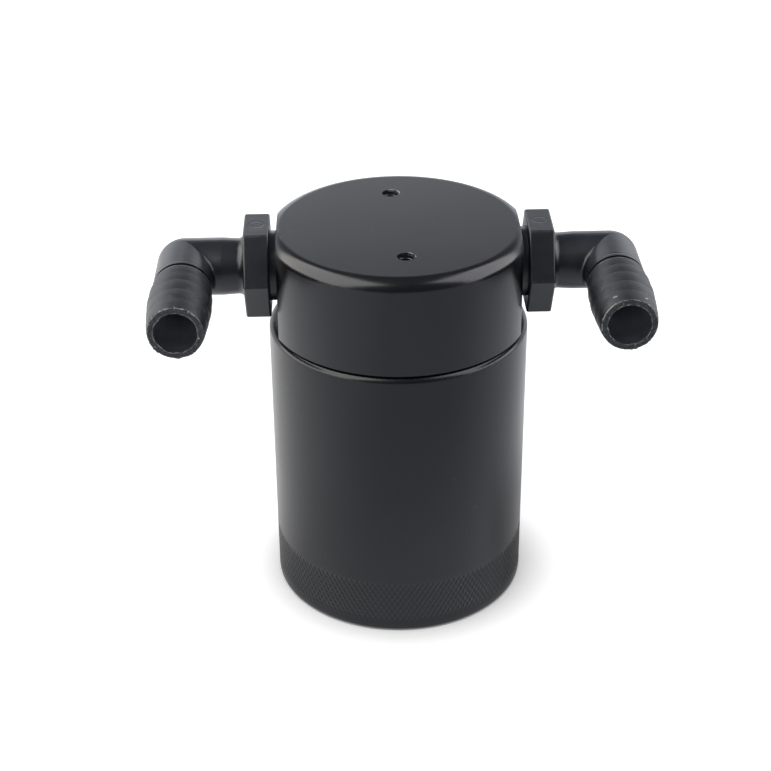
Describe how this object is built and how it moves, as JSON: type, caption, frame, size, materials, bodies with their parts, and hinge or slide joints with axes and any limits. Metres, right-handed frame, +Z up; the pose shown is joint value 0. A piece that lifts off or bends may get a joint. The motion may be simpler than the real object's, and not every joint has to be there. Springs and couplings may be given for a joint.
{
  "type": "oil catch can",
  "caption": "Round black can that traps oil from crankcase breather hoses: screw-off cup with knurled foot, flat-topped head with tapped bracket holes and side elbow hose barbs.",
  "frame": {"origin": "centre of the cup's base, on the can's axis", "axes": "+Z up along the can's axis, +X towards the outlet port, hose barbs pointing to -Y"},
  "size_m": [0.1174, 0.0659, 0.0979],
  "materials": {
    "anodised": "satin black anodised",
    "nylon": "black glass-filled moulding",
    "seal": "matte black",
    "plain_aluminium": "as turned",
    "steel": "stainless, as made",
    "wire_pad": "knitted stainless wire"
  },
  "bodies": {
    "cup": {"cup": "anodised"},
    "seal": {"seal_ring": "seal"},
    "head": {"head": "anodised", "left_elbow": "nylon", "right_elbow": "nylon", "drop_tube": "plain_aluminium", "centre_stud": "steel", "upper_spacer": "plain_aluminium", "inner_spacer": "plain_aluminium", "upper_baffle": "steel", "lower_baffle": "steel", "mesh_pad": "wire_pad", "washer": "steel", "lock_nut": "steel"}
  },
  "joints": [
    {"name": "head_rise", "type": "slide", "parent": "cup", "child": "seal", "axis": [0, 0, 1], "range_m": [0, 0.009]},
    {"name": "head_turn", "type": "hinge", "parent": "seal", "child": "head", "pos_m": [0, 0, 0.0732], "axis": [0, 0, 1], "range_deg": [0, 2160]}
  ],
  "couplings": [
    {"joint": "head_rise", "follows": "head_turn", "m_per_rad": 0.00023873}
  ]
}
